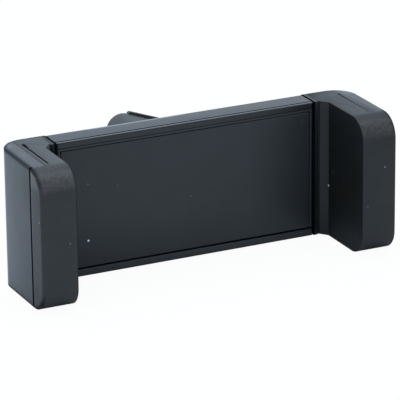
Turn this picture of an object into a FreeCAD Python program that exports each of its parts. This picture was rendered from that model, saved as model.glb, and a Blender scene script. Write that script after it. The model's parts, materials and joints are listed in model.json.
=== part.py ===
import FreeCAD, Part
import math
import os
from FreeCAD import Vector

# Air vent phone holder
# A flat channel carries two sprung jaws that slide out to the sides and grip a phone between
# rubber pads. A forked clip on the back turns on a short shaft and pushes onto a vent blade.
# X runs along the channel, +Y from the phone towards the vent, +Z up. The origin is the middle
# of the front plate, where the back of the phone rests. Sizes are in millimetres and degrees.

# Channel
channel_length = 54.1
body_height = 27.5
channel_depth = 5.6
top_wall = 1.25
bottom_wall = 1.5
back_wall = 1.1
channel_back_round = 0.7
channel_front_round = 0.3
channel_end_round = 0.5
trim_groove_width = 0.2
trim_groove_depth = 0.18
trim_groove_inset = 0.6

# Front plate and the inner frame that carries it
plate_thickness = 0.7
frame_floor = 1.0
frame_top_gap = 0.2
frame_bottom_gap = 0.2
frame_top_rim = 0.3
frame_end_rim = 0.7
plate_top_groove = 0.12
plate_bottom_groove = 0.37
plate_end_groove = 0.15
plate_corner_round = 0.4

# Jaws
jaw_gap = 0.35
jaw_root_width = 2.35
jaw_width = 7.25
jaw_reach = 15.3
jaw_travel = 13.0
lip_top_round = 4.5
lip_bottom_round = 3.0
jaw_back_round = 4.8
jaw_outer_edge_bevel = 0.2
root_flange = 0.75
root_bevel_width = 1.1
root_bevel_depth = 1.4
root_groove_width = 0.35
root_groove_depth = 0.3

# Jaw cover, the seams round it and the arm inside the rubber pad
cover_thickness = 2.9
cover_wall = 1.5
cover_pocket_front = 9.2
cover_pocket_back = 1.5
cover_seam = 0.1
seam_setback = 0.12
seam_groove_width = 0.35
seam_groove_depth = 0.5
slit_width = 0.35
slit_front = 9.8
slit_back = 2.5
left_slit_setback = 1.0
pad_skin = 1.95
pad_cap = 1.55
pad_tip = 1.9
core_root_front = 1.3
core_root_back = 4.4
stiffener_thickness = 1.05
stiffener_round = 3.4
hook_depth = 1.6
hook_reach = 1.95
cover_screw_depth = 4.0
cover_screw_height = 7.0
cover_screw_radius = 0.9
cover_screw_head_radius = 1.8
cover_screw_head = 0.9
cover_screw_bite = 2.2
cover_boss_radius = 2.2

# Arms that slide in the channel
slide_clearance = 0.3
arm_leg_to_washer = 0.6
arm_web_length = 5.9
stop_rib_half = 1.0
stop_gap = 0.35
catch_length = 2.0
catch_height = 0.6
guide_height = 0.45
spring_pocket_length = 2.9
spring_pocket_half = 1.5
spring_pocket_floor = 0.6

# Return springs
spring_radius = 1.1
spring_wire = 0.4
spring_post_radius = 0.6
spring_eye_radius = 0.95
frame_post_offset = 7.6
arm_post_offset = 1.7
spring_lead = 1.7

# Screws that hold the inner frame in the channel
case_screw_offset = 12.0
case_screw_radius = 0.8
case_screw_hole = 1.1
case_screw_head_radius = 2.0
case_screw_head = 0.85
case_screw_length = 3.2
case_boss_radius = 1.8
cross_slot_width = 0.45

# Swivel of the vent clip
swivel_boss_radius = 9.0
swivel_boss_height = 1.0
shaft_radius = 4.0
shaft_clearance = 0.05
friction_ring_inner = 4.8
friction_ring_outer = 7.3
friction_ring_thickness = 0.6
friction_ring_recess = 0.3
ring_side_clearance = 0.1
washer_radius = 5.4
washer_thickness = 0.6
washer_clearance = 0.15
clip_screw_radius = 1.1
clip_screw_head_radius = 2.6
clip_screw_head = 1.0
clip_screw_length = 7.6

# Vent clip
clip_turn = 20.0
clip_flange_radius = 8.5
clip_flange = 2.0
clip_half_width = 7.45
clip_corner_round = 3.3
clip_collar = 2.6
clip_end = 25.9
prong_skin = 1.25
prong_tip_skin = 1.3
slot_half = 1.0
slot_lining = 1.5
slot_root_wall = 3.3
slot_root_round = 1.9
cover_start_gap = 0.1
tip_bevel = 0.7
slot_mouth = 1.2
finger_rim_width = 7.6
finger_rim_height = 0.5
finger_rim_depth = 0.9
ridge_radius = 0.45
ridge_rise = 0.35
ridge_first = 3.4
ridge_to_mouth = 0.6
ridge_count = 5

# Cutting solids run this far past the faces they cut, and edges are told apart to this distance
past = 1.0
touch = 1e-3

# Places that follow from the sizes
half_length = channel_length / 2
half_height = body_height / 2
inner_top = half_height - top_wall
inner_bottom = half_height - bottom_wall
cavity_front = plate_thickness + frame_floor
cavity_back = channel_depth - back_wall
frame_top = inner_top - frame_top_gap
frame_bottom = inner_bottom - frame_bottom_gap
plate_top = frame_top - frame_top_rim - plate_top_groove
plate_bottom = inner_bottom - plate_bottom_groove
plate_half_length = half_length - frame_end_rim - plate_end_groove

jaw_root = half_length + jaw_gap
jaw_inner = jaw_root + jaw_root_width
jaw_outer = jaw_inner + jaw_width
pad_start = jaw_root + root_flange
cover_inner = jaw_outer - cover_thickness
lip_back = -jaw_reach + lip_top_round - seam_setback
cover_front = lip_back + cover_seam

arm_front = cavity_front + slide_clearance
arm_back = cavity_back - slide_clearance
arm_half = frame_bottom - guide_height - slide_clearance
arm_tip = stop_rib_half + stop_gap
arm_leg_inner = washer_radius + arm_leg_to_washer
catch_outer = arm_half + catch_height
arm_web_start = jaw_root - arm_web_length
guide_start = arm_tip + catch_length + jaw_travel + slide_clearance
guide_inner = frame_bottom - guide_height
case_screw_height = arm_leg_inner - slide_clearance - case_boss_radius
core_half = half_height - pad_cap
stiffener_inner = jaw_inner + pad_skin
stiffener_outer = stiffener_inner + stiffener_thickness
stiffener_tip = -jaw_reach + pad_tip

spring_axis = (arm_front + arm_back) / 2
arm_post = arm_web_start + arm_post_offset

boss_back = channel_depth + swivel_boss_height
ring_front = boss_back - friction_ring_recess
flange_front = ring_front + friction_ring_thickness
shaft_end = cavity_back - washer_clearance
washer_front = shaft_end - washer_thickness
screw_head_front = washer_front - clip_screw_head
collar_front = flange_front + clip_flange
collar_back = collar_front + clip_collar
prong_half = clip_half_width - prong_skin
prong_inner = slot_half + slot_lining
prong_end = clip_end - prong_tip_skin
slot_root = collar_front + slot_root_wall


def block(x0, x1, y0, y1, z0, z1):
    size = Vector(x1 - x0, y1 - y0, z1 - z0)
    return Part.makeBox(size.x, size.y, size.z, Vector(x0, y0, z0))


def disc(radius, y0, y1, x=0.0, z=0.0):
    return Part.makeCylinder(radius, y1 - y0, Vector(x, y0, z), Vector(0, 1, 0))


def rod(radius, x0, x1, y, z):
    return Part.makeCylinder(radius, x1 - x0, Vector(x0, y, z), Vector(1, 0, 0))


# Extrudes an outline of corners (u, v, corner radius). The plane "xy" is pushed along Z, "yz"
# along X and "xz" along Y, from start to end.
def outline_solid(corners, plane, start, end):
    def place(u, v):
        if plane == "xy":
            return Vector(u, v, start)
        if plane == "yz":
            return Vector(start, u, v)
        return Vector(u, start, v)

    direction = {"xy": Vector(0, 0, 1), "yz": Vector(1, 0, 0), "xz": Vector(0, 1, 0)}[plane]
    turns = []
    for i, (u, v, radius) in enumerate(corners):
        here = place(u, v)
        if radius <= 0:
            turns.append((here, None, here))
            continue
        before = place(*corners[i - 1][:2]) - here
        after = place(*corners[(i + 1) % len(corners)][:2]) - here
        half = before.getAngle(after) / 2
        before.normalize()
        after.normalize()
        middle = before + after
        middle.normalize()
        reach = radius / math.tan(half)
        crown = here + middle * (radius / math.sin(half) - radius)
        turns.append((here + before * reach, crown, here + after * reach))
    edges = []
    for i, (entry, crown, leave) in enumerate(turns):
        previous_leave = turns[i - 1][2]
        if previous_leave.distanceToPoint(entry) > touch:
            edges.append(Part.LineSegment(previous_leave, entry).toShape())
        if crown is not None:
            edges.append(Part.Arc(entry, crown, leave).toShape())
    face = Part.Face(Part.Wire(edges))
    return face.extrude(direction * (end - start))


def fuse_all(shapes):
    joined = shapes[0].multiFuse(shapes[1:])
    return joined.removeSplitter()


def cut_all(shape, tools):
    for tool in tools:
        shape = shape.cut(tool)
    return shape


def bevelled(shape, size, wanted):
    return shape.makeChamfer(size, [edge for edge in shape.Edges if wanted(edge.CenterOfMass)])


def mirrored(shape):
    return shape.mirror(Vector(0, 0, 0), Vector(1, 0, 0))


def save(name, shape):
    shape.exportStep("parts/" + name + ".step")


def four_places(x, z):
    return [(x, z), (-x, z), (-x, -z), (x, -z)]


# Plan of the channel, with the small round at each end of its front.
def make_channel_plan():
    return outline_solid(
        [
            (-half_length, 0, channel_end_round),
            (half_length, 0, channel_end_round),
            (half_length, channel_depth, 0),
            (-half_length, channel_depth, 0),
        ],
        "xy",
        -half_height,
        half_height,
    )


# Channel: one moulded shell, open at the front and at both ends, with the round boss of the
# swivel and four counterbored screw holes on its back.
def make_channel():
    section = outline_solid(
        [
            (0, -half_height, channel_front_round),
            (channel_depth, -half_height, channel_back_round),
            (channel_depth, half_height, channel_back_round),
            (0, half_height, channel_front_round),
        ],
        "yz",
        -half_length,
        half_length,
    )
    shell = section.common(make_channel_plan())
    shell = fuse_all([shell, disc(swivel_boss_radius, channel_depth - back_wall / 2, boss_back)])
    long_half = half_length + past
    cavity = block(-long_half, long_half, -past, cavity_back, -inner_bottom, inner_top)
    cuts = [cavity]
    groove_end = trim_groove_inset + trim_groove_width
    groove_floor = half_height - trim_groove_depth
    groove_top = half_height + past
    for z0, z1 in ((groove_floor, groove_top), (-groove_top, -groove_floor)):
        cuts.append(block(-long_half, long_half, trim_groove_inset, groove_end, z0, z1))
    for x, z in four_places(case_screw_offset, case_screw_height):
        cuts.append(disc(case_screw_hole, cavity_back - past, channel_depth, x, z))
        sink = channel_depth - case_screw_head
        cuts.append(disc(case_screw_head_radius, sink, channel_depth, x, z))
    seat_back = boss_back + past
    seat = disc(friction_ring_outer + ring_side_clearance, ring_front, seat_back)
    cuts.append(seat.cut(disc(friction_ring_inner - ring_side_clearance, ring_front, seat_back)))
    cuts.append(disc(shaft_radius + shaft_clearance, cavity_back - past, seat_back))
    return cut_all(shell, cuts)


# Inner frame: closes the front of the channel. Its rim shows as a thin line round the plate, and
# its back holds the guides, the middle stop, the spring posts and the screw bosses.
def make_inner_frame():
    floor = block(
        -half_length, half_length, plate_thickness, cavity_front, -frame_bottom, frame_top
    )
    top_rim = block(
        -half_length, half_length, 0, plate_thickness, frame_top - frame_top_rim, frame_top
    )
    end_rim = block(
        half_length - frame_end_rim, half_length, 0, plate_thickness, -plate_bottom, frame_top
    )
    frame = fuse_all([floor, top_rim, end_rim, mirrored(end_rim)])
    additions = []
    for z0, z1 in ((guide_inner, frame_top), (-frame_bottom, -guide_inner)):
        guide = block(guide_start, half_length, cavity_front, cavity_back, z0, z1)
        additions += [guide, mirrored(guide)]
    for z0, z1 in ((arm_leg_inner, frame_top), (-frame_bottom, -arm_leg_inner)):
        additions.append(
            block(-stop_rib_half, stop_rib_half, cavity_front, cavity_back, z0, z1)
        )
    post = disc(spring_post_radius, cavity_front, spring_axis + 2 * spring_wire, frame_post_offset)
    additions += [post, mirrored(post)]
    places = four_places(case_screw_offset, case_screw_height)
    for x, z in places:
        additions.append(disc(case_boss_radius, cavity_front, cavity_back, x, z))
    frame = fuse_all([frame.common(make_channel_plan())] + additions)
    bite = channel_depth - case_screw_length
    return cut_all(frame, [disc(case_screw_radius, bite, cavity_back, x, z) for x, z in places])


# Front plate: the smooth insert that the phone rests against.
def make_front_plate():
    return outline_solid(
        [
            (-plate_half_length, -plate_bottom, plate_corner_round),
            (plate_half_length, -plate_bottom, plate_corner_round),
            (plate_half_length, plate_top, plate_corner_round),
            (-plate_half_length, plate_top, plate_corner_round),
        ],
        "xz",
        0,
        plate_thickness,
    )


# Cross recess in the head of a screw that stands along Y.
def cross_recess(reach, y0, y1, x=0.0, z=0.0):
    half_slot = cross_slot_width / 2
    level = block(x - reach, x + reach, y0, y1, z - half_slot, z + half_slot)
    upright = block(x - half_slot, x + half_slot, y0, y1, z - reach, z + reach)
    return [level, upright]


def make_case_screws():
    sink = channel_depth - case_screw_head
    recess_floor = channel_depth - case_screw_head / 2
    screws = []
    for x, z in four_places(case_screw_offset, case_screw_height):
        shank = disc(case_screw_radius, channel_depth - case_screw_length, sink, x, z)
        head = disc(case_screw_head_radius, sink, channel_depth, x, z)
        recess = cross_recess(case_screw_radius, recess_floor, channel_depth + past, x, z)
        screws.append(cut_all(fuse_all([shank, head]), recess))
    return Part.makeCompound(screws)


# Outer form of the right jaw: flange, pad and cover together, before the seams part them.
def make_jaw_form():
    plan = outline_solid(
        [
            (jaw_root, 0, 0),
            (jaw_inner - root_bevel_width, 0, 0),
            (jaw_inner, -root_bevel_depth, 0),
            (jaw_inner, -jaw_reach, 0),
            (jaw_outer, -jaw_reach, 0),
            (jaw_outer, channel_depth, jaw_back_round),
            (jaw_root, channel_depth, 0),
        ],
        "xy",
        -half_height,
        half_height,
    )
    side_view = outline_solid(
        [
            (-jaw_reach, -half_height, lip_bottom_round),
            (channel_depth, -half_height, 0),
            (channel_depth, half_height, 0),
            (-jaw_reach, half_height, lip_top_round),
        ],
        "yz",
        jaw_root - past,
        jaw_outer + past,
    )
    form = plan.common(side_view)

    def outer_rim(centre):
        at_front = centre.y < touch - jaw_reach
        at_end = abs(centre.z) > half_height - lip_top_round
        return centre.x > jaw_outer - touch and (at_front or at_end)

    return bevelled(form, jaw_outer_edge_bevel, outer_rim)


# Stiffening plate inside the rubber: a flat leaf that ends in a hook inside the lip.
def make_stiffener(x0, x1):
    return outline_solid(
        [
            (stiffener_tip, -core_half, stiffener_round),
            (core_root_back, -core_half, 0),
            (core_root_back, core_half, 0),
            (stiffener_tip, core_half, stiffener_round),
        ],
        "yz",
        x0,
        x1,
    )


# Everything of the arm that the pad and the cover wrap round.
def make_arm_core():
    root = block(
        pad_start - root_flange / 2, stiffener_outer,
        core_root_front, core_root_back, -core_half, core_half,
    )
    leaf = make_stiffener(stiffener_inner, stiffener_outer)
    hook_back = stiffener_tip + hook_depth
    hook_zone = block(
        stiffener_outer - past, stiffener_outer + hook_reach, stiffener_tip, hook_back,
        -half_height, half_height,
    )
    hook = make_stiffener(stiffener_outer - past, stiffener_outer + hook_reach).common(hook_zone)
    core = [root, leaf, hook]
    for y, z in cover_screw_places():
        core.append(rod(cover_boss_radius, stiffener_outer - past, cover_inner, y, z))
    return fuse_all(core)


def cover_screw_places():
    return [(-cover_screw_depth, cover_screw_height), (-cover_screw_depth, -cover_screw_height)]


# Arm: a forked tongue that slides in the channel, the flange that shows beside the pad and the
# core inside the rubber, moulded as one.
def make_arm(form):
    wide = half_height + past
    flange = form.common(
        block(jaw_root - past, pad_start, -past, channel_depth + past, -wide, wide)
    )
    tongue = block(arm_tip, jaw_root + root_flange / 2, arm_front, arm_back, -arm_half, arm_half)
    window = block(
        arm_tip - past, arm_web_start,
        arm_front - past, arm_back + past,
        -arm_leg_inner, arm_leg_inner,
    )
    pocket = block(
        arm_web_start - past, arm_web_start + spring_pocket_length,
        arm_front - past, arm_back - spring_pocket_floor,
        -spring_pocket_half, spring_pocket_half,
    )
    tongue = cut_all(tongue, [window, pocket])
    post = disc(spring_post_radius, arm_front, arm_back - spring_pocket_floor / 2, arm_post, 0)
    pieces = [flange, tongue, post, make_arm_core()]
    catch_end = arm_tip + catch_length
    for side in (1, -1):
        pieces.append(
            outline_solid(
                [
                    (arm_tip, side * (arm_half - past), 0),
                    (catch_end, side * (arm_half - past), 0),
                    (catch_end, side * catch_outer, 0),
                    (arm_tip + catch_height, side * catch_outer, 0),
                    (arm_tip, side * arm_half, 0),
                ],
                "xz",
                arm_front,
                arm_back,
            )
        )
    arm = fuse_all(pieces)
    for y, z in cover_screw_places():
        head_end = stiffener_inner + cover_screw_head
        arm = arm.cut(rod(cover_screw_head_radius, stiffener_inner - past, head_end, y, z))
        arm = arm.cut(rod(cover_screw_radius, stiffener_inner, cover_inner + past, y, z))
    return arm


# Grip pad: soft rubber over the arm, with a solid rounded lip across the front of the jaw. The
# slit between the pad and the cover sits setback further in.
def make_pad(form, setback):
    wide = half_height + past
    front = -jaw_reach - past
    body = form.common(block(pad_start, cover_inner, front, channel_depth + past, -wide, wide))
    lip = form.common(block(cover_inner - past, jaw_outer + past, front, lip_back, -wide, wide))
    pad = fuse_all([body, lip])
    slit_outer = cover_inner - setback
    slit = block(slit_outer - slit_width, slit_outer, -slit_front, slit_back, -wide, wide)
    groove_end = pad_start + root_groove_width
    groove = block(pad_start, groove_end, -past, root_groove_depth, -wide, wide)
    return cut_all(pad, [make_arm_core(), slit, groove])


# Jaw cover: a hard shell over the outside of the jaw, hollow, with two screw bosses.
def make_cover(form):
    wide = half_height + past
    shell = form.common(
        block(cover_inner, jaw_outer + past, cover_front, channel_depth + past, -wide, wide)
    )
    pocket = block(
        cover_inner - past, jaw_outer - cover_wall,
        -cover_pocket_front, cover_pocket_back, -core_half, core_half,
    )
    for y, z in cover_screw_places():
        pocket = pocket.cut(rod(cover_boss_radius, cover_inner - past, jaw_outer, y, z))
    seam_groove = block(
        jaw_outer - seam_groove_depth, jaw_outer + past,
        cover_front, cover_front + seam_groove_width, -wide, wide,
    )
    shell = cut_all(shell, [pocket, seam_groove])
    hole_end = cover_inner + cover_screw_bite
    for y, z in cover_screw_places():
        shell = shell.cut(rod(cover_screw_radius, cover_inner - past, hole_end, y, z))
    return shell


def make_cover_screws():
    screws = []
    for y, z in cover_screw_places():
        head_end = stiffener_inner + cover_screw_head
        head = rod(cover_screw_head_radius, stiffener_inner, head_end, y, z)
        shank = rod(cover_screw_radius, head_end, cover_inner + cover_screw_bite, y, z)
        screws.append(fuse_all([head, shank]))
    return Part.makeCompound(screws)


# Return spring: the close coil, and at each end a square eye over a post and a bar that joins
# it to the coil.
def make_spring():
    coil_start = frame_post_offset + spring_lead
    coil_end = arm_post - spring_lead
    coil = rod(spring_radius, coil_start, coil_end, spring_axis, 0)
    bore = rod(spring_radius - spring_wire, coil_start, coil_end, spring_axis, 0)
    y0 = spring_axis - spring_wire / 2
    y1 = spring_axis + spring_wire / 2
    pieces = [coil.cut(bore)]
    for post, toward, bar_start in (
        (frame_post_offset, 1, coil_start),
        (arm_post, -1, coil_end - spring_wire),
    ):
        eye_outer = spring_eye_radius + spring_wire / 2
        eye_inner = spring_eye_radius - spring_wire / 2
        loop = block(post - eye_outer, post + eye_outer, y0, y1, -eye_outer, eye_outer)
        eye = block(post - eye_inner, post + eye_inner, y0, y1, -eye_inner, eye_inner)
        near = post + toward * spring_eye_radius
        far = post + toward * (spring_lead + spring_wire / 2)
        lead = block(
            min(near, far), max(near, far), y0, y1, -spring_wire / 2, spring_wire / 2
        )
        bar_half = spring_radius - spring_wire / 2
        bar = block(bar_start, bar_start + spring_wire, y0, y1, -bar_half, bar_half)
        pieces += [loop.cut(eye), lead, bar]
    return fuse_all(pieces)


def rounded_square(half, radius, y0, y1):
    return outline_solid(
        [(-half, -half, radius), (half, -half, radius), (half, half, radius), (-half, half, radius)],
        "xz",
        y0,
        y1,
    )


def turned(shape):
    shape = shape.copy()
    shape.rotate(Vector(0, 0, 0), Vector(0, 1, 0), clip_turn)
    return shape


# Clip core: shaft, flange, square collar and the two prongs of the fork, moulded as one.
def make_clip_core():
    shaft = disc(shaft_radius, shaft_end, flange_front + clip_flange / 2)
    flange = disc(clip_flange_radius, flange_front, collar_front)
    collar = rounded_square(clip_half_width, clip_corner_round, collar_front, collar_back)
    prongs = rounded_square(prong_half, clip_corner_round - prong_skin, collar_front, prong_end)
    slot = outline_solid(
        [
            (slot_root, -prong_inner, slot_root_round),
            (prong_end + past, -prong_inner, 0),
            (prong_end + past, prong_inner, 0),
            (slot_root, prong_inner, slot_root_round),
        ],
        "yz",
        -clip_half_width,
        clip_half_width,
    )
    core = fuse_all([shaft, flange, collar, prongs.cut(slot)])
    return core.cut(disc(clip_screw_radius, shaft_end - past, washer_front + clip_screw_length))


# Rubber cover of the upper prong, with ridges in the slot, a sloped mouth and a finger rim.
def make_prong_cover(core):
    start = collar_back + cover_start_gap
    body = outline_solid(
        [
            (-clip_half_width, slot_half, 0),
            (clip_half_width, slot_half, 0),
            (clip_half_width, clip_half_width, clip_corner_round),
            (-clip_half_width, clip_half_width, clip_corner_round),
        ],
        "xz",
        start,
        clip_end,
    )
    mouth = outline_solid(
        [
            (clip_end - slot_mouth, slot_half, 0),
            (clip_end + past, slot_half - past, 0),
            (clip_end + past, slot_half + slot_mouth + past, 0),
        ],
        "yz",
        -clip_half_width - past,
        clip_half_width + past,
    )

    def far_outer_rim(centre):
        return centre.y > clip_end - touch and centre.z > slot_half + touch

    body = bevelled(body, tip_bevel, far_outer_rim).cut(mouth)
    rim = outline_solid(
        [
            (-finger_rim_width / 2, clip_half_width - past, 0),
            (finger_rim_width / 2, clip_half_width - past, 0),
            (finger_rim_width / 2, clip_half_width + finger_rim_height, finger_rim_height),
            (-finger_rim_width / 2, clip_half_width + finger_rim_height, finger_rim_height),
        ],
        "xz",
        clip_end - finger_rim_depth,
        clip_end,
    )
    pieces = [body, rim]
    ridge_half = clip_half_width - tip_bevel
    ridge_start = start + ridge_first
    ridge_pitch = (clip_end - slot_mouth - ridge_to_mouth - ridge_start) / (ridge_count - 1)
    ridge_centre = slot_half + ridge_radius - ridge_rise
    for i in range(ridge_count):
        y = ridge_start + i * ridge_pitch
        pieces.append(rod(ridge_radius, -ridge_half, ridge_half, y, ridge_centre))
    return fuse_all(pieces).cut(core)


def make_clip_screw():
    head = disc(clip_screw_head_radius, screw_head_front, washer_front)
    shank_front = screw_head_front + clip_screw_head / 2
    shank = disc(clip_screw_radius, shank_front, washer_front + clip_screw_length)
    recess_floor = screw_head_front + clip_screw_head / 2
    recess = cross_recess(clip_screw_radius, screw_head_front - past, recess_floor)
    return cut_all(fuse_all([head, shank]), recess)


def make_clip_washer():
    return disc(washer_radius, washer_front, shaft_end).cut(
        disc(clip_screw_radius, washer_front, shaft_end)
    )


def make_friction_ring():
    return disc(friction_ring_outer, ring_front, flange_front).cut(
        disc(friction_ring_inner, ring_front, flange_front)
    )


os.makedirs("parts", exist_ok=True)

save("channel", make_channel())
save("inner_frame", make_inner_frame())
save("front_plate", make_front_plate())
save("case_screws", make_case_screws())
save("friction_ring", make_friction_ring())

jaw_form = make_jaw_form()
jaw_pieces = {
    "jaw_arm": make_arm(jaw_form),
    "jaw_cover": make_cover(jaw_form),
    "cover_screws": make_cover_screws(),
    "return_spring": make_spring(),
}
for piece_name, piece in jaw_pieces.items():
    save(piece_name + "_right", piece)
    save(piece_name + "_left", mirrored(piece))
save("grip_pad_right", make_pad(jaw_form, 0))
save("grip_pad_left", mirrored(make_pad(jaw_form, left_slit_setback)))

clip_core = make_clip_core()
upper_cover = make_prong_cover(clip_core)
lower_cover = upper_cover.mirror(Vector(0, 0, 0), Vector(0, 0, 1))
save("clip_core", turned(clip_core))
save("prong_cover_upper", turned(upper_cover))
save("prong_cover_lower", turned(lower_cover))
save("clip_screw", turned(make_clip_screw()))
save("clip_washer", make_clip_washer())
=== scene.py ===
import json
import math

import bmesh
import bpy
import numpy as np
from mathutils import Matrix, Vector


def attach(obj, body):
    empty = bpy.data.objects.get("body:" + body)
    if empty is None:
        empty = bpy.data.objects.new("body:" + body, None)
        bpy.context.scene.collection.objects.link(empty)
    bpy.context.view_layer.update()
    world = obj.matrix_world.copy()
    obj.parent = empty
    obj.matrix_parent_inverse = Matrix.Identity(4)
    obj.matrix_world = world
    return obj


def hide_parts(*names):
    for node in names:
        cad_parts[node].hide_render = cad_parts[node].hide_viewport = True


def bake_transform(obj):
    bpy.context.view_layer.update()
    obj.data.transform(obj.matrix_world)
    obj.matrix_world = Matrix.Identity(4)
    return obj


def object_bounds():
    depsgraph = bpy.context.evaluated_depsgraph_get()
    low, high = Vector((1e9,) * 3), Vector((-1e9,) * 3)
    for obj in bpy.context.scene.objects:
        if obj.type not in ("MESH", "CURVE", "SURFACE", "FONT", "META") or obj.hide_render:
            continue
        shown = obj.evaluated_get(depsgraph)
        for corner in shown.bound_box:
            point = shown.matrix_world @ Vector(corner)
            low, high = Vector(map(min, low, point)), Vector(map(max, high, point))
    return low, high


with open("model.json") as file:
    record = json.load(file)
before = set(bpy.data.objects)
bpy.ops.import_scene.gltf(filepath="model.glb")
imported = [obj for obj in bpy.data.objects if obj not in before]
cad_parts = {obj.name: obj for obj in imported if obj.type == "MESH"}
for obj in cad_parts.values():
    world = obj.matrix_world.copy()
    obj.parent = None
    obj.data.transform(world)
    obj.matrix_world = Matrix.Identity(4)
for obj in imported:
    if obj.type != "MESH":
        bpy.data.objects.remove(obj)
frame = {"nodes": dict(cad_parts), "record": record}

cadLow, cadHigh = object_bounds()
scene = bpy.context.scene
record = frame["record"]
mm = 0.001
print("frame loaded:", len(frame["nodes"]), "nodes")


# Value wraps one socket of a shader, so that sums on masks read as plain maths.
class Value:
    def __init__(self, tree, socket):
        self.tree = tree
        self.socket = socket

    def math(self, operation, other=None, swapped=False):
        node = self.tree.nodes.new("ShaderNodeMath")
        node.operation = operation
        pair = (other, self) if swapped else (self, other)
        for entry, item in zip(node.inputs, pair):
            connect(self.tree, entry, item)
        return Value(self.tree, node.outputs[0])

    def __add__(self, other):
        return self.math("ADD", other)

    def __radd__(self, other):
        return self.math("ADD", other)

    def __sub__(self, other):
        return self.math("SUBTRACT", other)

    def __rsub__(self, other):
        return self.math("SUBTRACT", other, swapped=True)

    def __mul__(self, other):
        return self.math("MULTIPLY", other)

    def __rmul__(self, other):
        return self.math("MULTIPLY", other)

    def __pow__(self, other):
        return self.math("POWER", other)

    def __abs__(self):
        return self.math("ABSOLUTE")

    def highest(self, other):
        return self.math("MAXIMUM", other)


def connect(tree, entry, item):
    if item is None:
        return
    if isinstance(item, Value):
        tree.links.new(item.socket, entry)
    else:
        entry.default_value = item


class Shading:
    def __init__(self, tree):
        self.tree = tree
        self.tree.nodes.clear()

    # Adds any node: its settings are set first, then the values or links of its sockets.
    def node(self, kind, settings=None, inputs=None, output=0):
        made = self.tree.nodes.new(kind)
        for name, setting in (settings or {}).items():
            setattr(made, name, setting)
        for name, item in (inputs or {}).items():
            connect(self.tree, made.inputs[name], item)
        return Value(self.tree, made.outputs[output]) if made.outputs else None

    def place(self):
        return self.node("ShaderNodeTexCoord", output="Object")

    def axis(self, vector, letter):
        return self.node("ShaderNodeSeparateXYZ", inputs={"Vector": vector}, output=letter)

    def noise(self, vector, size, detail, roughness):
        inputs = {"Vector": vector, "Scale": 1 / size, "Detail": detail, "Roughness": roughness}
        return self.node("ShaderNodeTexNoise", inputs=inputs, output="Fac")

    # Goes smoothly from 0 to 1 as the value passes from low to high.
    def step(self, value, low, high):
        settings = {"interpolation_type": "SMOOTHSTEP"}
        inputs = {"Value": value, "From Min": low, "From Max": high}
        return self.node("ShaderNodeMapRange", settings, inputs)

    # The Mix node has its colour sockets at numbers 6 and 7, and its colour result at 2.
    def mix(self, factor, first, second):
        settings = {"data_type": "RGBA"}
        return self.node("ShaderNodeMix", settings, {0: factor, 6: first, 7: second}, output=2)

    def bump(self, distance, height):
        inputs = {"Strength": 1.0, "Distance": distance, "Height": height}
        return self.node("ShaderNodeBump", inputs=inputs)


def colour(rgb):
    return (rgb[0], rgb[1], rgb[2], 1.0)


shadowColour = (0.004, 0.004, 0.004)


class Finish(Shading):
    def __init__(self, name):
        self.material = bpy.data.materials.new(name)
        self.material.use_nodes = True
        super().__init__(self.material.node_tree)

    # The shadow mask leads from the finish to a dark matt one, for the depths of seams and gaps.
    def finish(self, inputs, shadow=None):
        shader = self.node("ShaderNodeBsdfPrincipled", inputs=inputs)
        if shadow is not None:
            matt = self.node("ShaderNodeBsdfDiffuse", inputs={"Color": colour(shadowColour)})
            shader = self.node("ShaderNodeMixShader", inputs={0: shadow, 1: shader, 2: matt})
        self.node("ShaderNodeOutputMaterial", inputs={"Surface": shader})
        return self.material


# Where a point of the part lies, in millimetres: out from the middle, back from the phone's seat,
# and up or down from the middle. A pair of limits gives the two ends of a smooth step, and the one
# called middle parts left from right.
class Spot:
    middle = (-1, 1)

    def __init__(self, made, here):
        self.made = made
        self.here = here
        self.across = made.axis(here, "X") * (1 / mm)
        self.out = abs(self.across)
        self.back = made.axis(here, "Y") * (1 / mm)
        self.rise = made.axis(here, "Z") * (1 / mm)
        self.height = abs(self.rise)

    def above(self, value, limits):
        return self.made.step(value, *limits)

    def below(self, value, limits):
        return 1 - self.made.step(value, *limits)

    def between(self, value, rising, falling):
        return self.above(value, rising) * self.below(value, falling)

    def onLeft(self):
        return self.below(self.across, self.middle)

    def onRight(self):
        return self.above(self.across, self.middle)


# Patterns of the moulded surfaces: detail and roughness of each noise, sizes as shares of the
# look's own sizes, limits of the smooth steps, and shares in the tone and the relief.
patterns = {
    "grainNoise": (3.0, 0.6),
    "fineNoise": (2.0, 0.5),
    "cloudNoise": (3.0, 0.55),
    "rubNoise": (4.0, 0.6),
    "fineSize": 0.35,
    "rubSize": 0.3,
    "cloudShare": 0.65,
    "toneLimits": (0.3, 0.7),
    "rubLimits": (0.45, 0.75),
    "speckCore": 0.6,
    "markCore": 0.5,
    "grainRelief": 0.6,
}


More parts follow.
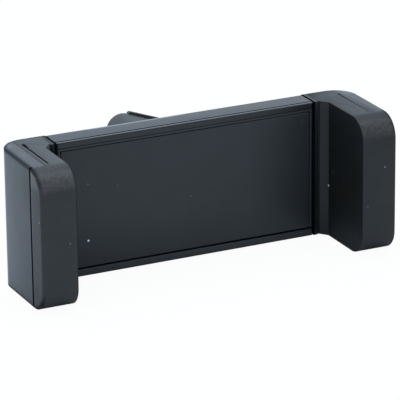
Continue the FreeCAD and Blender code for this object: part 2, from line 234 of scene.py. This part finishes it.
# Moulded plastic or rubber: fine moulding grain, slow changes of tone, rubbed edges and a few
# specks of dust. A piece's own function adds painted light and shade, and on the pad some tone of
# its own: it is handed the spot, the colour and the roughness, and gives back colour, roughness
# and a painted shadow mask.
def moulded(name, look, paintedLightAndTone=None):
    made = Finish(name)
    here = made.place()
    grain = made.noise(here, look["grain"], *patterns["grainNoise"])
    fine = made.noise(here, look["grain"] * patterns["fineSize"], *patterns["fineNoise"])
    cloud = made.noise(here, look["cloud"], *patterns["cloudNoise"])
    share = patterns["cloudShare"]
    tone = made.step(cloud * share + grain * (1 - share), *patterns["toneLimits"])
    body = made.mix(tone, colour(look["dark"]), colour(look["light"]))
    settings = {"feature": "F1"}
    cells = {"Vector": here, "Scale": 1 / look["speckSpacing"], "Randomness": 1.0}
    speckDistance = made.node("ShaderNodeTexVoronoi", settings, cells, "Distance")
    speckSize = look["speckSize"] / look["speckSpacing"]
    speck = 1 - made.step(speckDistance, speckSize * patterns["speckCore"], speckSize)
    speck = speck * look["dust"]
    for x, y, z, radius, strength in look["marks"]:
        points = {0: here, 1: (x * mm, y * mm, z * mm)}
        away = made.node("ShaderNodeVectorMath", {"operation": "DISTANCE"}, points, "Value")
        mark = 1 - made.step(away, radius * mm * patterns["markCore"], radius * mm)
        speck = speck.highest(mark * strength)
    body = made.mix(speck, body, colour(look["speckColour"]))
    wear = made.noise(here, look["cloud"] * patterns["rubSize"], *patterns["rubNoise"])
    rubbed = made.step(wear, *patterns["rubLimits"])
    roughness = look["roughness"] + (grain - 0.5) * look["roughnessGrain"] - rubbed * look["rub"]
    shadow = None
    if paintedLightAndTone:
        body, roughness, shadow = paintedLightAndTone(Spot(made, here), body, roughness)
    relief = grain * patterns["grainRelief"] + fine * (1 - patterns["grainRelief"])
    inputs = {
        "Base Color": body,
        "Roughness": roughness,
        "IOR": look["ior"],
        "Specular IOR Level": look["specular"],
        "Normal": made.bump(look["relief"], relief),
    }
    return made.finish(inputs, shadow)


# The rounded outer rim of a jaw, and where its band of painted shade lies, a dark band standing
# for the darker reflection in the rounded edge. In this and the next dictionaries places are in
# millimetres, a pair holds the limits of a smooth step, a triple is a colour, and a depth is the
# strength of a mask. A pair called Noise is a noise's detail and roughness.
jawRim = {
    "cornerOut": 32.2,
    "cornerBack": 0.8,
    "cornerRound": 4.8,
    "lipForward": 10.8,
    "lipHeight": 9.25,
    "lipRound": 4.5,
    "lipBack": (-11.5, -10.5),
    "band": (0.15, 0.95),
    "bandHeight": (9.0, 12.0),
    "bandDepth": 0.66,
}


# Painted shade along the rim. Distance to the rim is the distance in from the plan, plus the
# distance in from the side outline, each following its rounded corner. The right jaw has the
# painted band on its lip only.
def rimPaintedShade(spot, values):
    across = (spot.out - values["cornerOut"]).highest(0)
    along = (spot.back - values["cornerBack"]).highest(0)
    fromPlan = values["cornerRound"] - (across * across + along * along) ** 0.5
    ahead = (0 - spot.back - values["lipForward"]).highest(0)
    upward = (spot.height - values["lipHeight"]).highest(0)
    fromSide = values["lipRound"] - (ahead * ahead + upward * upward) ** 0.5
    band = spot.below(fromPlan + fromSide, values["band"])
    leftOrLip = spot.onLeft().highest(spot.below(spot.back, values["lipBack"]))
    band = band * leftOrLip * spot.above(spot.height, values["bandHeight"])
    return band * values["bandDepth"]


# The cover: a painted highlight on the back corner, painted light on the lower outer side, and
# painted shade in the seam to the pad and along the rim.
coverPaintedLight = {
    "corner": (0.070, 0.078, 0.086),
    "cornerBack": (0.9, 2.2),
    "cornerOut": (34.5, 35.5),
    "side": (0.036, 0.041, 0.045),
    "sideOut": (36.2, 36.6),
    "sideRise": (3, 9),
    "seamBack": (-10.40, -10.32),
    "seamOut": (36.40, 36.50),
}


# Paints the cover's highlight, light and shade.
def paintCoverLight(spot, body, roughness):
    values = coverPaintedLight
    corner = spot.above(spot.back, values["cornerBack"])
    corner = corner * spot.above(spot.out, values["cornerOut"])
    side = spot.above(spot.out, values["sideOut"]) * spot.below(spot.rise, values["sideRise"])
    seam = spot.below(spot.back, values["seamBack"]) * spot.above(spot.out, values["seamOut"])
    body = spot.made.mix(side, body, colour(values["side"]))
    body = spot.made.mix(corner, body, colour(values["corner"]))
    return body, roughness, seam.highest(rimPaintedShade(spot, jawRim))


# The pad: a dark flat top, a painted sheen over real mottle on the upper turn of the lip and a
# painted lighter root on the left jaw, over its groove too, with painted shadows along the rim,
# on the inner side, round the back end of the left slit (flare), in the seam to the cover and
# over the whole right pad.
padToneAndPaintedLight = {
    "top": (0.0120, 0.0136, 0.0150),
    "topHeight": (13.45, 13.70),
    "topBack": (-10.90, -10.50),
    "topGloss": 0.10,
    "turn": (0.075, 0.066, 0.061),
    "turnStart": (9.30, 11.40),
    "turnEnd": (12.70, 13.50),
    "turnBack": (-11.60, -11.00),
    "turnOut": (29.80, 30.00),
    "turnBase": 0.34,
    "mottleSize": 0.6 * mm,
    "mottleNoise": (3.0, 0.7),
    "mottleLimits": (0.30, 0.70),
    "mottleDepth": 0.62,
    "innerOut": (29.80, 29.95),
    "innerBack": (-1.60, -1.30),
    "innerLow": (-12.0, -5.0),
    "innerDepth": 0.62,
    "innerLowDepth": 0.46,
    "flareStart": (0.3, 0.8),
    "flareEnd": (2.3, 2.6),
    "flareInside": (32.40, 32.60),
    "flareOutside": (33.10, 33.35),
    "flareHeight": (13.5, 13.6),
    "flareDepth": 0.8,
    "seamStart": (-11.06, -10.98),
    "seamEnd": (-10.90, -10.88),
    "seamOut": (36.60, 36.75),
    "root": (0.060, 0.063, 0.064),
    "rootOut": (29.60, 29.72),
    "rootStart": (-1.36, -1.20),
    "rootEnd": (1.0, 1.4),
    "rightDepth": 0.18,
}


# Paints the pad's tone, its sheen, light and shade.
def paintPadToneAndLight(spot, body, roughness):
    values = padToneAndPaintedLight
    top = spot.above(spot.height, values["topHeight"]) * spot.above(spot.back, values["topBack"])
    turn = spot.between(spot.rise, values["turnStart"], values["turnEnd"])
    turn = turn * spot.below(spot.back, values["turnBack"])
    turn = turn * spot.above(spot.out, values["turnOut"])
    mottle = spot.made.noise(spot.here, values["mottleSize"], *values["mottleNoise"])
    mottle = spot.above(mottle, values["mottleLimits"])
    turn = turn * (values["turnBase"] + mottle * values["mottleDepth"])
    root = spot.below(spot.out, values["rootOut"]) * spot.onLeft()
    root = root * spot.between(spot.back, values["rootStart"], values["rootEnd"])
    # The flat top takes a darker tone; the left root gets painted light and the lip's turn a
    # painted sheen over real mottle.
    body = spot.made.mix(top, body, colour(values["top"]))
    body = spot.made.mix(root * (1 - top), body, colour(values["root"]))
    body = spot.made.mix(turn, body, colour(values["turn"]))
    inner = spot.below(spot.out, values["innerOut"]) * spot.below(spot.back, values["innerBack"])
    low = spot.below(spot.rise, values["innerLow"])
    lowChange = values["innerLowDepth"] - values["innerDepth"]
    inner = inner * (values["innerDepth"] + low * lowChange)
    flare = spot.between(spot.back, values["flareStart"], values["flareEnd"])
    flare = flare * spot.between(spot.out, values["flareInside"], values["flareOutside"])
    flare = flare * spot.onLeft() * spot.above(spot.height, values["flareHeight"])
    seam = spot.between(spot.back, values["seamStart"], values["seamEnd"])
    seam = seam * spot.above(spot.out, values["seamOut"])
    shadow = rimPaintedShade(spot, jawRim).highest(inner).highest(seam)
    shadow = shadow.highest(flare * values["flareDepth"])
    shadow = shadow.highest(spot.onRight() * values["rightDepth"])
    return body, roughness - top * values["topGloss"], shadow


# The walls of the gap between channel and jaw get painted shade: on the arm's flange, and on the
# ends of the channel and of the inner frame.
gapPaintedShade = {
    "flangeInside": (27.10, 27.14),
    "flangeOutside": (27.45, 27.58),
    "channelEnd": (27.00, 27.04),
}


# Painted shade on the wall of the arm's flange in the gap.
def paintArmGapShade(spot, body, roughness):
    gapWall = spot.between(spot.out, gapPaintedShade["flangeInside"], gapPaintedShade["flangeOutside"])
    return body, roughness, gapWall


# Painted shade on the ends of the inner frame.
def paintFrameGapShade(spot, body, roughness):
    return body, roughness, spot.above(spot.out, gapPaintedShade["channelEnd"])


# The channel: a painted reflection on the top, light at the left and darker to the right, a
# painted highlight on the front edge and on the back edge near the clip, painted shade in the
# trim grooves behind the front edges and on the ends, and a painted shaded rim round the upper
# front.
channelPaintedLight = {
    "leftTop": (0.050, 0.056, 0.063),
    "rightTop": (0.006, 0.007, 0.008),
    "topRise": (13.60, 13.72),
    "topAcross": (-27, 27),
    "topDepth": 0.8,
    "upper": (0, 1),
    "frontEdge": (0.14, 0.142, 0.148),
    "frontEdgeHeight": (13.56, 13.68),
    "frontEdgeBack": (0.34, 0.40),
    "backEdge": (0.24, 0.25, 0.26),
    "backEdgeStart": (4.40, 4.75),
    "backEdgeEnd": (5.15, 5.35),
    "backEdgeLeft": (-22, -15),
    "backEdgeRight": (-5, 5),
    "grooveStart": (0.34, 0.40),
    "grooveEnd": (0.80, 0.85),
    "grooveHeight": (13.40, 13.50),
    "grooveDepth": 0.92,
    "rimBack": (0.10, 0.25),
    "rimDepth": 0.2,
}


# Paints the channel's reflection, highlights and shade.
def paintChannelLight(spot, body, roughness):
    values = channelPaintedLight
    top = spot.above(spot.rise, values["topRise"])
    toRight = spot.above(spot.across, values["topAcross"])
    paintedTopReflection = spot.made.mix(toRight, colour(values["leftTop"]), colour(values["rightTop"]))
    upper = spot.above(spot.rise, values["upper"])
    frontEdge = spot.above(spot.height, values["frontEdgeHeight"])
    frontEdge = frontEdge * spot.below(spot.back, values["frontEdgeBack"]) * upper
    backEdge = spot.between(spot.back, values["backEdgeStart"], values["backEdgeEnd"])
    nearClip = spot.between(spot.across, values["backEdgeLeft"], values["backEdgeRight"])
    body = spot.made.mix(top * values["topDepth"], body, paintedTopReflection)
    body = spot.made.mix(frontEdge, body, colour(values["frontEdge"]))
    body = spot.made.mix(backEdge * nearClip * upper, body, colour(values["backEdge"]))
    groove = spot.between(spot.back, values["grooveStart"], values["grooveEnd"])
    groove = groove * spot.above(spot.height, values["grooveHeight"]) * values["grooveDepth"]
    rim = spot.below(spot.back, values["rimBack"]) * upper * values["rimDepth"]
    ends = spot.above(spot.out, gapPaintedShade["channelEnd"])
    return body, roughness, ends.highest(groove).highest(rim)


# The front plate gets painted light, lighter towards the right.
platePaintedLight = {
    "right": (0.030, 0.033, 0.036),
    "rightAcross": (2, 24),
    "rightDepth": 0.5,
}


# Paints light on the plate towards the right.
def paintPlateLight(spot, body, roughness):
    right = spot.above(spot.across, platePaintedLight["rightAcross"]) * platePaintedLight["rightDepth"]
    return spot.made.mix(right, body, colour(platePaintedLight["right"])), roughness, None


# Patterns of the metal pieces, in the same way as those of the moulded surfaces.
metalPatterns = {
    "cloudNoise": (3.0, 0.6),
    "scratchNoise": (4.0, 0.7),
    "toneLimits": (0.35, 0.65),
}


def metal(name, look):
    made = Finish(name)
    here = made.place()
    cloud = made.noise(here, look["cloud"], *metalPatterns["cloudNoise"])
    scratch = made.noise(here, look["grain"], *metalPatterns["scratchNoise"])
    tone = made.step(cloud, *metalPatterns["toneLimits"])
    inputs = {
        "Base Color": made.mix(tone, colour(look["dark"]), colour(look["light"])),
        "Metallic": 1.0,
        "Roughness": look["roughness"] + (scratch - 0.5) * look["roughnessGrain"],
        "Normal": made.bump(look["relief"], scratch),
    }
    return made.finish(inputs)


# Marks are single specks: X, Y, Z and radius in millimetres, and how much they cover.
plainLook = {
    "dark": (0.0150, 0.0168, 0.0185),
    "light": (0.0200, 0.0222, 0.0244),
    "grain": 0.30 * mm,
    "cloud": 7.0 * mm,
    "relief": 0.0065 * mm,
    "roughness": 0.44,
    "roughnessGrain": 0.12,
    "rub": 0.05,
    "ior": 1.5,
    "specular": 0.5,
    "speckSpacing": 9.0 * mm,
    "speckSize": 0.16 * mm,
    "speckColour": (0.92, 0.93, 0.94),
    "dust": 0.08,
    "marks": [],
}
channelLook = dict(plainLook, roughness=0.39)
coverLook = dict(
    plainLook,
    dark=(0.0200, 0.0224, 0.0246),
    light=(0.0280, 0.0312, 0.0344),
    roughness=0.40,
    grain=0.26 * mm,
)
plateLook = dict(
    plainLook,
    dark=(0.0095, 0.0107, 0.0118),
    light=(0.0130, 0.0145, 0.0160),
    roughness=0.46,
    grain=0.22 * mm,
    cloud=12.0 * mm,
    relief=0.004 * mm,
    marks=[
        (-20.99, 0, -6.69, 0.27, 1.0),
        (-20.83, 0, 4.64, 0.18, 0.16),
        (-14.64, 0, 3.50, 0.16, 0.10),
        (0.63, 0, -1.21, 0.18, 0.11),
        (24.61, 0, 10.09, 0.18, 0.11),
    ],
)
frameLook = dict(plainLook, roughness=0.48, dust=0.16)
armLook = dict(
    plainLook,
    dark=(0.0120, 0.0130, 0.0145),
    light=(0.0165, 0.0180, 0.0195),
    roughness=0.55,
)
clipLook = dict(
    plainLook,
    dark=(0.026, 0.026, 0.026),
    light=(0.036, 0.035, 0.034),
    roughness=0.34,
)
padLook = dict(
    plainLook,
    dark=(0.0060, 0.0064, 0.0068),
    light=(0.0105, 0.0106, 0.0106),
    grain=0.34 * mm,
    relief=0.016 * mm,
    roughness=0.56,
    roughnessGrain=0.2,
    specular=0.55,
    speckSpacing=6.0 * mm,
    marks=[
        (-31.24, -15.3, -0.45, 0.20, 0.12),
        (29.75, -1.5, -3.33, 0.32, 0.60),
        (29.75, -3.2, 0.0, 0.6, 0.03),
        (34.59, -15.3, 3.99, 0.20, 0.28),
        (30.95, -15.3, -3.56, 0.18, 0.10),
        (-37.0, -14.48, 4.3, 0.20, 0.28),
        (-37.0, -13.35, -5.28, 0.18, 0.10),
        (31.07, -8.50, 13.75, 0.20, 0.40),
    ],
)
clipRubberLook = dict(
    padLook,
    dark=(0.030, 0.030, 0.0295),
    light=(0.042, 0.0415, 0.041),
    relief=0.012 * mm,
    marks=[],
)
ringLook = dict(
    plainLook,
    dark=(0.48, 0.48, 0.45),
    light=(0.58, 0.58, 0.55),
    roughness=0.4,
    dust=0.0,
)
steelLook = {
    "dark": (0.36, 0.36, 0.35),
    "light": (0.55, 0.54, 0.52),
    "grain": 0.12 * mm,
    "cloud": 1.5 * mm,
    "relief": 0.003 * mm,
    "roughness": 0.32,
    "roughnessGrain": 0.15,
}

finishes = {
    "channel_plastic": moulded("satin channel plastic", channelLook, paintChannelLight),
    "frame_plastic": moulded("inner frame plastic", frameLook, paintFrameGapShade),
    "plate_plastic": moulded("front plate plastic", plateLook, paintPlateLight),
    "cover_plastic": moulded("jaw cover plastic", coverLook, paintCoverLight),
    "arm_plastic": moulded("arm plastic", armLook, paintArmGapShade),
    "clip_plastic": moulded("clip plastic", clipLook),
    "pad_rubber": moulded("grip rubber", padLook, paintPadToneAndLight),
    "clip_rubber": moulded("clip rubber", clipRubberLook),
    "ring_plastic": moulded("nylon ring", ringLook),
    "screw_steel": metal("zinc plated screws", steelLook),
    "spring_steel": metal("spring wire", dict(steelLook, roughness=0.25)),
}
print("finishes made:", len(finishes))


# Width of the moulded round on the sharp edges of each piece.
softening = {
    "channel": 0.10 * mm,
    "inner_frame": 0.05 * mm,
    "front_plate": 0.09 * mm,
    "case_screws": 0.08 * mm,
    "friction_ring": 0.10 * mm,
    "jaw_arm_left": 0.12 * mm,
    "jaw_arm_right": 0.12 * mm,
    "grip_pad_left": 0.20 * mm,
    "grip_pad_right": 0.20 * mm,
    "jaw_cover_left": 0.12 * mm,
    "jaw_cover_right": 0.12 * mm,
    "cover_screws_left": 0.15 * mm,
    "cover_screws_right": 0.15 * mm,
    "clip_core": 0.20 * mm,
    "prong_cover_upper": 0.25 * mm,
    "prong_cover_lower": 0.25 * mm,
    "clip_screw": 0.12 * mm,
    "clip_washer": 0.10 * mm,
}
slotOf = {part["node"]: part["material_slot"] for part in record["subparts"]}
bodyOf = {node: body for body, nodes in record["behaviour"]["bodies"].items() for node in nodes}

# Planes of tight seams, as axis and millimetres: edges that lie in one stay sharp.
tightSeams = {
    "grip_pad": [(0, 28.15), (0, 34.10), (1, -10.92)],
    "jaw_cover": [(0, 34.10), (1, -10.82)],
    "jaw_arm": [(0, 28.15)],
}

# How a CAD mesh is merged and rounded: weld in metres, angles in degrees. An edge is sharp from
# sharpAngle on, and tolerance, in millimetres, says when a corner lies in a plane.
merging = {
    "weld": 0.0005 * mm,
    "flatAngle": 0.4,
    "sharpAngle": 28,
    "segments": 3,
    "tolerance": 0.01,
}


def inTightSeam(node, edge):
    for kind, planes in tightSeams.items():
        for axis, value in planes:
            ends = [vert.co[axis] / mm for vert in edge.verts]
            if axis == 0:
                ends = [abs(end) for end in ends]
            inPlane = all(abs(end - value) < merging["tolerance"] for end in ends)
            if node.startswith(kind) and inPlane:
                return True
    return False


# Changes of form that only the softened copies have, in millimetres: the lower corner of each lip
# is nearly as round as the upper one, the arm's root flange stands nearer to the channel, and the
# inner frame stands nearer to the channel's top wall. Skin is how far under the surface a point
# still moves with the lip's round.
reshaping = {
    "lipFront": -15.3,
    "lipBottom": -13.75,
    "solidRound": 3.0,
    "lipRound": 4.3,
    "skin": 0.6,
    "solidFlange": 27.4,
    "flange": 27.15,
    "solidFrameTop": 12.3,
    "frameTop": 12.42,
}


# A point on the lip's lower corner keeps its direction from the centre of the round. The centre
# moves in by the growth of the radius, and the point goes out from it by as much.
def roundLip(shape, values):
    growth = values["lipRound"] - values["solidRound"]
    centreY = values["lipFront"] + values["solidRound"]
    centreZ = values["lipBottom"] + values["solidRound"]
    for vert in shape.verts:
        ahead = centreY - vert.co.y / mm
        below = centreZ - vert.co.z / mm
        reach = math.hypot(ahead, below)
        onCorner = min(ahead, below) > -merging["tolerance"]
        if onCorner and reach > values["solidRound"] - values["skin"]:
            stretch = (reach + growth) / reach
            vert.co.y = (centreY + growth - ahead * stretch) * mm
            vert.co.z = (centreZ + growth - below * stretch) * mm


def widenFlange(shape, values):
    for vert in shape.verts:
        if abs(abs(vert.co.x) / mm - values["solidFlange"]) < merging["tolerance"]:
            vert.co.x *= values["flange"] / values["solidFlange"]


def raiseFrame(shape, values):
    for vert in shape.verts:
        if abs(vert.co.z / mm - values["solidFrameTop"]) < merging["tolerance"]:
            vert.co.z = values["frameTop"] * mm


# Makes the softened copy of a CAD node: its triangles are merged into flat faces, and every sharp
# edge gets a small moulded round.
def soften(node, width):
    source = frame["nodes"][node]
    shape = bmesh.new()
    shape.from_mesh(source.data)
    bmesh.ops.remove_doubles(shape, verts=shape.verts, dist=merging["weld"])
    bmesh.ops.dissolve_limit(
        shape,
        angle_limit=math.radians(merging["flatAngle"]),
        verts=shape.verts,
        edges=shape.edges,
        delimit={"NORMAL"},
    )
    if node.startswith("grip_pad"):
        roundLip(shape, reshaping)
    if node.startswith("jaw_arm"):
        widenFlange(shape, reshaping)
    if node == "inner_frame":
        raiseFrame(shape, reshaping)
    weights = shape.edges.layers.float.new("bevel_weight_edge")
    for edge in shape.edges:
        sharp = edge.calc_face_angle(0) > math.radians(merging["sharpAngle"])
        edge[weights] = 1.0 if sharp and not inTightSeam(node, edge) else 0.0
    mesh = bpy.data.meshes.new(node + "_soft")
    shape.to_mesh(mesh)
    shape.free()
    piece = bpy.data.objects.new(node + "_soft", mesh)
    scene.collection.objects.link(piece)
    mesh.shade_smooth()
    mesh.materials.clear()
    mesh.materials.append(finishes[slotOf[node]])
    rounding = piece.modifiers.new("moulded edges", "BEVEL")
    rounding.width = width
    rounding.segments = merging["segments"]
    rounding.limit_method = "WEIGHT"
    rounding.harden_normals = True
    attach(piece, bodyOf[node])
    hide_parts(node)


for node, width in softening.items():
    soften(node, width)
print("softened pieces:", len(softening))


# A round wire along a path. The ring of each path point is cos and sin of the angle round the
# wire, carried on two directions square to the path: side is square to Z as well, or to X where
# the path runs nearly along Z. The two ends are closed with a fan.
def wire(name, path, radius, sides, leastSine=0.05):
    steps = np.gradient(path, axis=0)
    tangent = steps / np.linalg.norm(steps, axis=1, keepdims=True)
    side = np.cross(tangent, [0.0, 0.0, 1.0])
    alongZ = np.linalg.norm(side, axis=1) < leastSine
    side[alongZ] = np.cross(tangent[alongZ], [1.0, 0.0, 0.0])
    side /= np.linalg.norm(side, axis=1, keepdims=True)
    up = np.cross(side, tangent)
    angle = np.linspace(0, 2 * np.pi, sides, endpoint=False)
    rings = (
        path[:, None, :]
        + radius * np.cos(angle)[None, :, None] * side[:, None, :]
        + radius * np.sin(angle)[None, :, None] * up[:, None, :]
    )
    count = len(path)
    points = np.vstack([rings.reshape(-1, 3), path[:1], path[-1:]])
    rows = np.arange(count - 1)[:, None] * sides
    here = np.arange(sides)[None, :]
    after = (here + 1) % sides
    quads = np.stack([rows + here, rows + after, rows + sides + after, rows + sides + here], -1)
    startPoint, endPoint = count * sides, count * sides + 1
    lastRow = (count - 1) * sides
    first = np.stack([after[0], here[0], np.full(sides, startPoint)], -1)
    last = np.stack([lastRow + here[0], lastRow + after[0], np.full(sides, endPoint)], -1)
    faces = quads.reshape(-1, 4).tolist() + first.tolist() + last.tolist()
    mesh = bpy.data.meshes.new(name)
    mesh.from_pydata(points.tolist(), [], faces)
    shape = bmesh.new()
    shape.from_mesh(mesh)
    bmesh.ops.recalc_face_normals(shape, faces=shape.faces)
    shape.to_mesh(mesh)
    shape.free()
    mesh.shade_smooth()
    piece = bpy.data.objects.new(name, mesh)
    scene.collection.objects.link(piece)
    return piece


# Lengths in metres, angles in degrees. Each sweep follows the wire: the frame post's one starts at
# the wire's end, and the arm post's one at the coil.
springValues = {
    "wireRadius": 0.19 * mm,
    "wireSides": 10,
    "coilRadius": 0.90 * mm,
    "loopRadius": 0.92 * mm,
    "loopSteps": 24,
    "frameSweep": (330, 20),
    "armSweep": (160, -150),
    "turns": 27,
    "stepsPerTurn": 20,
    "axisHeight": 3.1 * mm,
    "framePost": 7.6 * mm,
    "armPost": 23.2 * mm,
    "lead": 1.7 * mm,
}


# Part of a circle round a post, in the plane square to it: the cos of the angle goes along X and
# the sin along Z.
def postLoop(values, post, sweep):
    angle = np.radians(np.linspace(*sweep, values["loopSteps"]))
    along = post + values["loopRadius"] * np.cos(angle)
    level = np.full(len(angle), values["axisHeight"])
    return np.stack([along, level, values["loopRadius"] * np.sin(angle)], -1)


# The close coil is a helix about X. Each end swings in to the axis and runs round its post.
def springPath(values, side):
    start = values["framePost"] + values["lead"]
    end = values["armPost"] - values["lead"]
    turn = np.linspace(0, 2 * np.pi * values["turns"], values["turns"] * values["stepsPerTurn"])
    along = np.linspace(start, end, len(turn))
    level = values["axisHeight"] + values["coilRadius"] * np.cos(turn)
    coil = np.stack([along, level, values["coilRadius"] * np.sin(turn)], -1)
    frameLoop = postLoop(values, values["framePost"], values["frameSweep"])
    armLoop = postLoop(values, values["armPost"], values["armSweep"])
    path = np.vstack([frameLoop, coil, armLoop])
    path[:, 0] *= side
    return path


for word, side in (("left", -1), ("right", 1)):
    path = springPath(springValues, side)
    wireName = "return_spring_" + word + "_wire"
    spring = wire(wireName, path, springValues["wireRadius"], springValues["wireSides"])
    spring.data.materials.append(finishes["spring_steel"])
    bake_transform(spring)
    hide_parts("return_spring_" + word)
print("springs wound")


# Studio: pale floor, soft light from above and behind, and a calmer side towards the viewer. The
# camera sees the floor nearly white and the world white. Lengths in metres, power in watts.
studio = {
    "white": (1.0, 1.0, 1.0),
    "floorColour": (0.86, 0.86, 0.86),
    "floorReach": 40.0,
    "floorWhite": 0.95,
    "lightColour": (0.86, 1.0, 1.15),
    "behind": 1.12,
    "front": 0.42,
    "lamps": {
        "top softbox": {"place": (0.05, 0.15, 0.75), "size": 0.8, "power": 3.2},
        "left softbox": {"place": (-0.75, -0.15, 0.35), "size": 0.6, "power": 1.6},
    },
}


def makeFloor(values):
    low = cadLow.z
    reach = values["floorReach"]
    around = [(-reach, -reach), (reach, -reach), (reach, reach), (-reach, reach)]
    corners = [(x, y, low) for x, y in around]
    mesh = bpy.data.meshes.new("floor")
    mesh.from_pydata(corners, [], [(0, 1, 2, 3)])
    floor = bpy.data.objects.new("floor", mesh)
    scene.collection.objects.link(floor)
    made = Finish("pale floor")
    white = colour(values["white"])
    diffuse = made.node("ShaderNodeBsdfDiffuse", inputs={"Color": colour(values["floorColour"])})
    glow = made.node("ShaderNodeEmission", inputs={"Color": white, "Strength": 1.0})
    seen = made.node("ShaderNodeLightPath", output="Is Camera Ray") * values["floorWhite"]
    mixed = made.node("ShaderNodeMixShader", inputs={0: seen, 1: diffuse, 2: glow})
    made.node("ShaderNodeOutputMaterial", inputs={"Surface": mixed})
    mesh.materials.append(made.material)


# The world's light grows from the front value, on the viewer's side, to the behind value.
def makeWorld(values):
    world = bpy.data.worlds.new("studio")
    scene.world = world
    world.use_nodes = True
    made = Shading(world.node_tree)
    direction = made.node("ShaderNodeTexCoord", output="Generated")
    backness = made.axis(direction, "Y") * 0.5 + 0.5
    seen = made.node("ShaderNodeLightPath", output="Is Camera Ray")
    level = values["front"] + backness * (values["behind"] - values["front"])
    tint = made.mix(seen, colour(values["lightColour"]), colour(values["white"]))
    strength = seen + (1 - seen) * level
    background = made.node("ShaderNodeBackground", inputs={"Color": tint, "Strength": strength})
    made.node("ShaderNodeOutputWorld", inputs={"Surface": background})


# A square softbox that faces the part.
def makeLamp(name, values, lightColour):
    lamp = bpy.data.lights.new(name, "AREA")
    lamp.color = lightColour
    lamp.shape = "SQUARE"
    lamp.size = values["size"]
    lamp.energy = values["power"]
    lampObject = bpy.data.objects.new(name, lamp)
    scene.collection.objects.link(lampObject)
    lampObject.location = values["place"]
    towardsPart = -Vector(values["place"])
    lampObject.rotation_euler = towardsPart.to_track_quat("-Z", "Y").to_euler()


makeFloor(studio)
makeWorld(studio)
for name, values in studio["lamps"].items():
    makeLamp(name, values, studio["lightColour"])
print("studio lit")


# Camera, solved from the photograph: angles in degrees, lengths in metres, focal length in
# pixels of the frame, and the sensor's width in millimetres.
cameraValues = {
    "azimuth": -25.48,
    "elevation": 19.72,
    "roll": -0.597,
    "distance": 0.61299,
    "shiftRight": 0.002310,
    "shiftUp": -0.001812,
    "focalPixels": 3197.2,
    "framePixels": 400,
    "sensor": 36.0,
    "clipStart": 0.01,
    "clipEnd": 100,
}


def makeCamera(values):
    azimuth = math.radians(values["azimuth"])
    elevation = math.radians(values["elevation"])
    roll = math.radians(values["roll"])
    level = Vector((math.cos(azimuth), math.sin(azimuth), 0))
    outward = Vector((math.sin(azimuth), -math.cos(azimuth), 0))
    back = math.cos(elevation) * outward + math.sin(elevation) * Vector((0, 0, 1))
    upright = back.cross(level)
    right = math.cos(roll) * level + math.sin(roll) * upright
    up = math.cos(roll) * upright - math.sin(roll) * level
    camera = bpy.data.cameras.new("camera")
    camera.sensor_width = values["sensor"]
    camera.lens = values["sensor"] * values["focalPixels"] / values["framePixels"]
    camera.clip_start = values["clipStart"]
    camera.clip_end = values["clipEnd"]
    cameraObject = bpy.data.objects.new("camera", camera)
    scene.collection.objects.link(cameraObject)
    place = values["distance"] * back + values["shiftRight"] * right + values["shiftUp"] * up
    turn = Matrix((right, up, back)).transposed().to_4x4()
    cameraObject.matrix_world = Matrix.Translation(place) @ turn
    scene.camera = cameraObject


makeCamera(cameraValues)
scene.view_settings.view_transform = "Standard"
print("camera placed")
